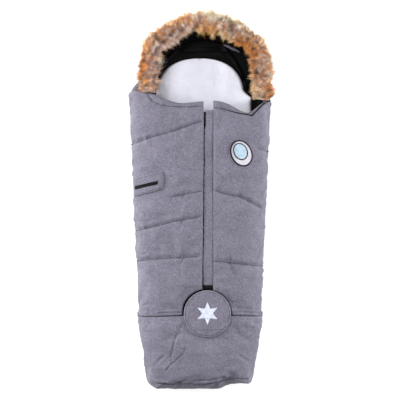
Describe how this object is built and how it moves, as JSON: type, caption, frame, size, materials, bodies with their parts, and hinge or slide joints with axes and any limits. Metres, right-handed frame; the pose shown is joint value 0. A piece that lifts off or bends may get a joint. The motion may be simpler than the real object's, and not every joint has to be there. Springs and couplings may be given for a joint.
{
  "type": "stroller footmuff",
  "caption": "Padded stroller footmuff: hooded bag with a fur-trimmed rim, two zipped front panels, a fold-down foot panel, pocket flap and harness slots.",
  "frame": {"origin": "middle of the flat back face that lies on the seat", "axes": "+Y from the toes to the hood, +Z out of the front, +X to the right in the picture"},
  "size_m": [0.4087, 1.0742, 0.123],
  "materials": {
    "grey_melange": "matt heather weave",
    "black_lining": "smooth black lining cloth",
    "white_fleece": "soft pile fleece",
    "wadding": "loose polyester wadding",
    "fur": "long-haired imitation fur",
    "zip_tape": "woven tape",
    "zip_plastic": "moulded",
    "dark_metal": "dark enamel",
    "reflective": "pale reflective transfer",
    "black_rubber": "matt",
    "patch_grey": "felt",
    "patch_blue": "felt"
  },
  "bodies": {
    "back": {"back_shell": "grey_melange", "back_wadding": "wadding", "back_lining": "black_lining", "fleece_liner": "white_fleece", "slot_binding_crotch": "black_lining", "slot_binding_hip_left": "black_lining", "slot_binding_hip_right": "black_lining", "slot_binding_shoulder_left": "black_lining", "slot_binding_shoulder_right": "black_lining"},
    "left_front": {"left_front_shell": "grey_melange", "left_front_wadding": "wadding", "left_front_lining": "black_lining", "left_zip_tape": "zip_tape", "left_zip_teeth": "zip_plastic", "left_knee_zip_tape": "zip_tape", "left_knee_zip_teeth": "zip_plastic", "pocket_welt": "black_lining"},
    "right_front": {"right_front_shell": "grey_melange", "right_front_wadding": "wadding", "right_front_lining": "black_lining", "right_zip_tape": "zip_tape", "right_zip_teeth": "zip_plastic", "right_knee_zip_tape": "zip_tape", "right_knee_zip_teeth": "zip_plastic", "zip_bottom_stop": "zip_plastic", "zip_placket": "grey_melange", "badge_backing": "patch_grey", "badge_face": "patch_blue"},
    "foot_front": {"foot_front_shell": "grey_melange", "foot_front_wadding": "wadding", "foot_front_lining": "black_lining", "left_toe_zip_tape": "zip_tape", "left_toe_zip_teeth": "zip_plastic", "right_toe_zip_tape": "zip_tape", "right_toe_zip_teeth": "zip_plastic", "zip_cover_base": "grey_melange"},
    "zip_cover": {"zip_cover_flap": "grey_melange", "cover_emblem": "reflective"},
    "pocket_flap": {"pocket_flap": "grey_melange", "pocket_label": "black_rubber"},
    "hood": {"hood_lining": "black_lining", "hood_shell": "grey_melange", "hood_rim_tape": "black_lining", "fur_trim": "fur"},
    "centre_slider": {"centre_slider": "dark_metal"},
    "centre_pull": {"centre_pull": "zip_plastic"},
    "left_foot_slider": {"left_foot_slider": "dark_metal"},
    "left_foot_pull": {"left_foot_pull": "zip_plastic"},
    "right_foot_slider": {"right_foot_slider": "dark_metal"},
    "right_foot_pull": {"right_foot_pull": "zip_plastic"}
  },
  "joints": [
    {"name": "left_front_open", "type": "hinge", "parent": "back", "child": "left_front", "pos_m": [-0.1745, -0.32, 0.045], "axis": [0.0445, -0.999, 0], "range_deg": [0, 135], "deforming": ["zip_cover_flap"]},
    {"name": "right_front_open", "type": "hinge", "parent": "back", "child": "right_front", "pos_m": [0.1745, -0.32, 0.045], "axis": [0.0445, 0.999, 0], "range_deg": [0, 135], "deforming": ["zip_cover_flap"]},
    {"name": "foot_front_fold", "type": "hinge", "parent": "back", "child": "foot_front", "pos_m": [0, -0.536, 0.045], "axis": [1, 0, 0], "range_deg": [0, 135]},
    {"name": "hood_lift", "type": "hinge", "parent": "back", "child": "hood", "pos_m": [0, 0.288, 0.112], "axis": [1, 0, 0], "range_deg": [0, 70]},
    {"name": "centre_zip_slide", "type": "slide", "parent": "right_front", "child": "centre_slider", "axis": [0, -1, 0], "range_m": [0, 0.47]},
    {"name": "centre_pull_swing", "type": "hinge", "parent": "centre_slider", "child": "centre_pull", "pos_m": [0.013, 0.2435, 0.1045], "axis": [-1, 0, 0], "range_deg": [0, 150]},
    {"name": "zip_cover_lift", "type": "hinge", "parent": "foot_front", "child": "zip_cover", "pos_m": [0.021, -0.367, 0.1219], "axis": [1, 0, 0], "range_deg": [0, 150]},
    {"name": "pocket_flap_lift", "type": "hinge", "parent": "left_front", "child": "pocket_flap", "pos_m": [-0.14325, 0.072, 0.11046], "axis": [-0.9321, -0.2206, -0.2874], "range_deg": [0, 75]},
    {"name": "left_foot_zip_slide", "type": "slide", "parent": "foot_front", "child": "left_foot_slider", "axis": [-1, 0, 0], "range_m": [0, 0.1]},
    {"name": "left_foot_pull_swing", "type": "hinge", "parent": "left_foot_slider", "child": "left_foot_pull", "pos_m": [0.014, -0.32, 0.097], "axis": [0, 1, 0], "range_deg": [0, 150]},
    {"name": "right_foot_zip_slide", "type": "slide", "parent": "foot_front", "child": "right_foot_slider", "axis": [1, 0, 0], "range_m": [0, 0.068]},
    {"name": "right_foot_pull_swing", "type": "hinge", "parent": "right_foot_slider", "child": "right_foot_pull", "pos_m": [0.028, -0.32, 0.097], "axis": [0, -1, 0], "range_deg": [0, 150]}
  ]
}
